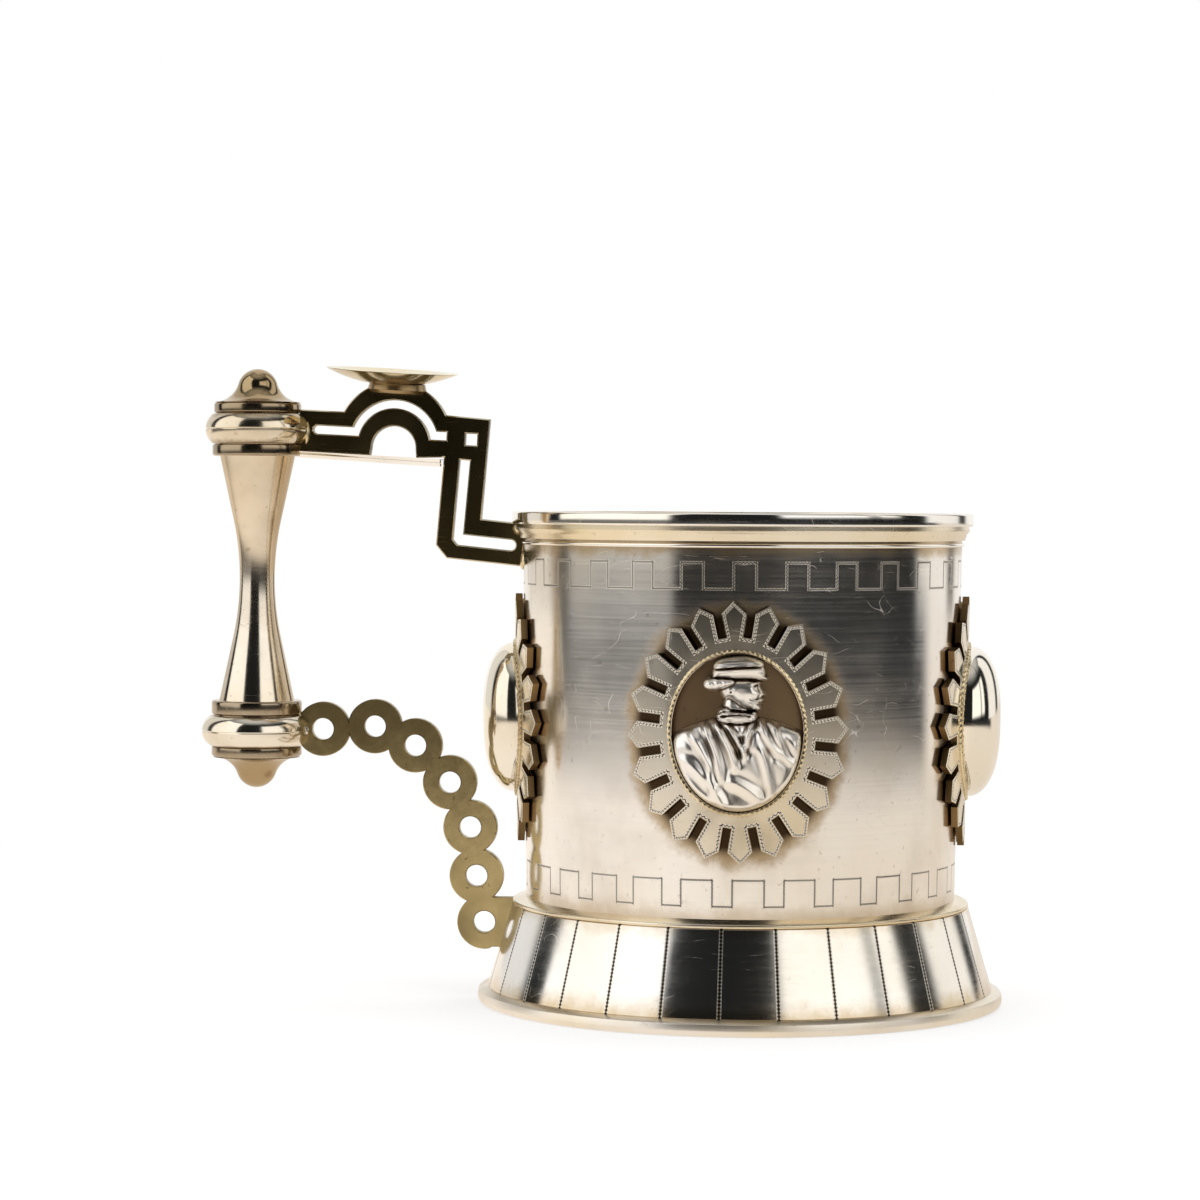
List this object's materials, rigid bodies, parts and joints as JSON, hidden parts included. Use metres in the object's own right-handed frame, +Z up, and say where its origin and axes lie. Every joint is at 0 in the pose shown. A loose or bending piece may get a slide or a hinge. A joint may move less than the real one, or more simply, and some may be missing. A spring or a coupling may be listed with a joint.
{
  "type": "podstakannik tea glass holder",
  "caption": "Silver tea glass holder with a turned column handle, a pierced bracket, a thumb rest, a strap of rings and rayed medallions round an open cylinder.",
  "frame": {"origin": "centre of the foot's resting plane, on the axis of the glass cylinder", "axes": "+Z up along the cylinder's axis out of the mouth; the handle points to -X; the portrait medallion faces -Y"},
  "size_m": [0.1325, 0.0862, 0.1052],
  "materials": {
    "body_silver": "worn polished silver with fine round scratches",
    "moulding_silver": "polished silver",
    "gilt_silver": "worn gilding over silver",
    "ray_silver": "matt engraved silver with dark recesses",
    "boss_silver": "bright polished silver gilt",
    "dark_ground": "oxidised brown ground",
    "portrait_silver": "polished relief with dark recesses",
    "fret_dark": "dark olive patina",
    "strap_gilt": "brushed dull gilding"
  },
  "bodies": {
    "root": {"body_shell": "body_silver", "rim_band": "moulding_silver", "rim_cove": "moulding_silver", "rim_bead": "moulding_silver", "base_plate": "gilt_silver", "foot_skirt": "body_silver", "foot_ring": "moulding_silver", "front_rays": "ray_silver", "left_rays": "ray_silver", "back_rays": "ray_silver", "right_rays": "ray_silver", "front_bezel": "gilt_silver", "left_bezel": "gilt_silver", "back_bezel": "gilt_silver", "right_bezel": "gilt_silver", "left_boss": "boss_silver", "back_boss": "boss_silver", "right_boss": "boss_silver", "portrait_ground": "dark_ground", "portrait_bust": "portrait_silver", "column": "body_silver", "upper_capital": "moulding_silver", "lower_capital": "moulding_silver", "upper_finial": "moulding_silver", "lower_finial": "gilt_silver", "fret_bracket": "fret_dark", "finger_bar": "moulding_silver", "thumb_neck": "gilt_silver", "thumb_dish": "moulding_silver", "ring_strap": "strap_gilt"}
  },
  "joints": []
}
